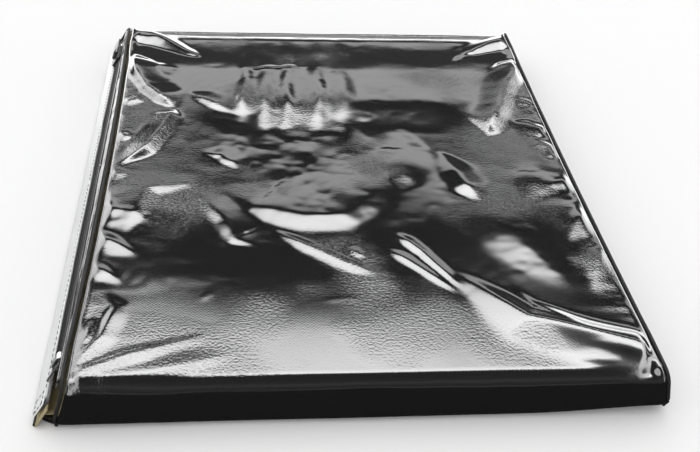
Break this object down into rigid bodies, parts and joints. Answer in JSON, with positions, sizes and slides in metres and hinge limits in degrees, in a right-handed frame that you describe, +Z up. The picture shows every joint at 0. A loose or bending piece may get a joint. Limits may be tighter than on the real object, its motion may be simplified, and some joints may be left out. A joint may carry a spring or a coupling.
{
  "type": "lipo safe bag",
  "caption": "Flat box-shaped fire-resistant bag for lithium batteries, glossy black coated cloth, with a zipped mouth along one end wall and piped edges.",
  "frame": {"origin": "middle of the bag's footprint, on the surface that it lies on", "axes": "+Z up through the top, -Y out of the front wall, -X out of the end wall that holds the zip"},
  "size_m": [0.2458, 0.306, 0.0215],
  "materials": {
    "black_cloth": "glossy coated woven glass cloth",
    "silver_cloth": "silver coated woven glass cloth",
    "felt": "pressed fibre felt",
    "lining_cloth": "tan heat-treated glass cloth",
    "piping_cord": "satin covered cord",
    "zip_tape": "herringbone polyester tape",
    "zip_coil": "satin nylon coil",
    "slider_metal": "black enamel",
    "stop_metal": "bright",
    "sewing_thread": "matte thread"
  },
  "bodies": {
    "bag": {"outer_cover": "black_cloth", "cover_padding": "felt", "cover_lining": "lining_cloth", "bottom_panel": "black_cloth", "bottom_padding": "felt", "bottom_lining": "lining_cloth", "right_end_wall": "black_cloth", "right_end_padding": "felt", "right_end_lining": "lining_cloth", "right_piping": "piping_cord", "left_piping": "piping_cord", "upper_band_ends": "black_cloth", "lower_strip_ends": "silver_cloth", "strip_lining_ends": "lining_cloth", "upper_tape_ends": "zip_tape", "lower_tape_ends": "zip_tape", "upper_coil_ends": "zip_coil", "lower_coil_ends": "zip_coil", "zip_bottom_stop": "stop_metal", "zip_top_stops": "stop_metal", "strip_end_hem": "silver_cloth", "bar_tacks": "sewing_thread"},
    "mouth_upper": {"upper_lip_band": "black_cloth", "upper_zip_tape": "zip_tape", "upper_zip_coil": "zip_coil"},
    "mouth_lower": {"lower_lip_strip": "silver_cloth", "lower_lip_lining": "lining_cloth", "lower_zip_tape": "zip_tape", "lower_zip_coil": "zip_coil"},
    "slider": {"slider_body": "slider_metal"},
    "pull": {"pull_tab": "slider_metal"}
  },
  "joints": [
    {"name": "slider_travel", "type": "slide", "parent": "bag", "child": "slider", "axis": [0, -1, 0], "range_m": [0, 0.244]},
    {"name": "pull_swing", "type": "hinge", "parent": "slider", "child": "pull", "pos_m": [-0.11592, 0.123, 0.01567], "axis": [0.515, 0, 0.8572], "range_deg": [0, 170]},
    {"name": "upper_lip_fold", "type": "hinge", "parent": "bag", "child": "mouth_upper", "pos_m": [-0.11098, 0.001, 0.01924], "axis": [0, 1, 0], "range_deg": [0, 65]},
    {"name": "lower_lip_fold", "type": "hinge", "parent": "bag", "child": "mouth_lower", "pos_m": [-0.12126, 0.001, 0.00115], "axis": [0, -1, 0], "range_deg": [0, 108]}
  ]
}
